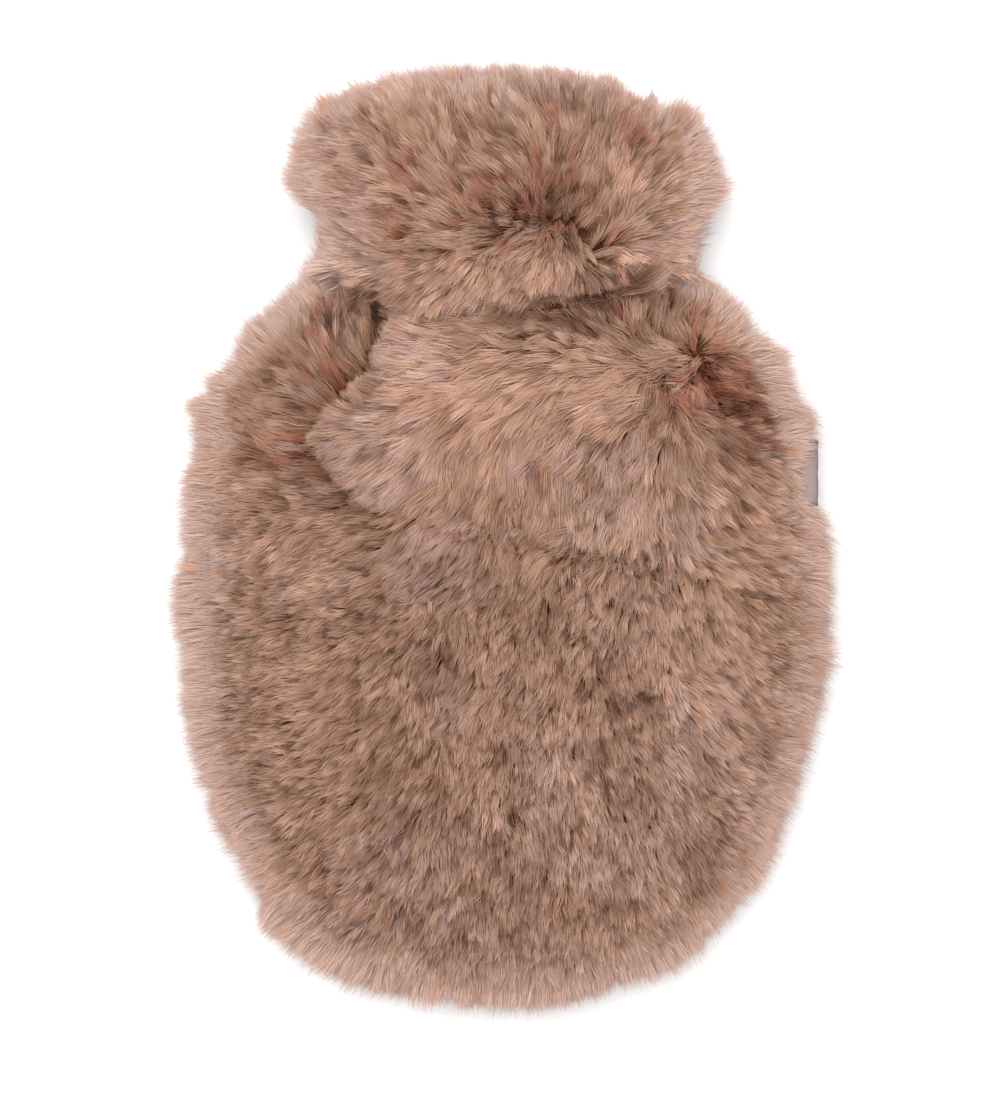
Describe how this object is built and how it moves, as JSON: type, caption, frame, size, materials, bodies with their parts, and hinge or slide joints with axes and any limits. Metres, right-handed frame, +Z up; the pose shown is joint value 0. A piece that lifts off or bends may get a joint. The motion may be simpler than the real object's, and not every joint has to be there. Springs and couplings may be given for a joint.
{
  "type": "hot water bottle cover",
  "caption": "Plump hot water bottle cover in long taupe-pink faux fur with a furry collar, lying on its back.",
  "frame": {"origin": "middle of the cover's footprint on the surface that it lies on", "axes": "+Y along the cover towards its neck and mouth, +X towards the side with the tab, +Z up out of its front"},
  "size_m": [0.2446, 0.3496, 0.0818],
  "materials": {
    "fur": "matte",
    "fur_tips": "matte",
    "tape": "matte"
  },
  "bodies": {
    "root": {"front_panel": "fur", "back_panel": "fur", "collar": "fur", "seam_pile_left": "fur_tips", "seam_pile_right": "fur_tips", "collar_pile": "fur_tips", "side_tab": "tape"}
  },
  "joints": []
}
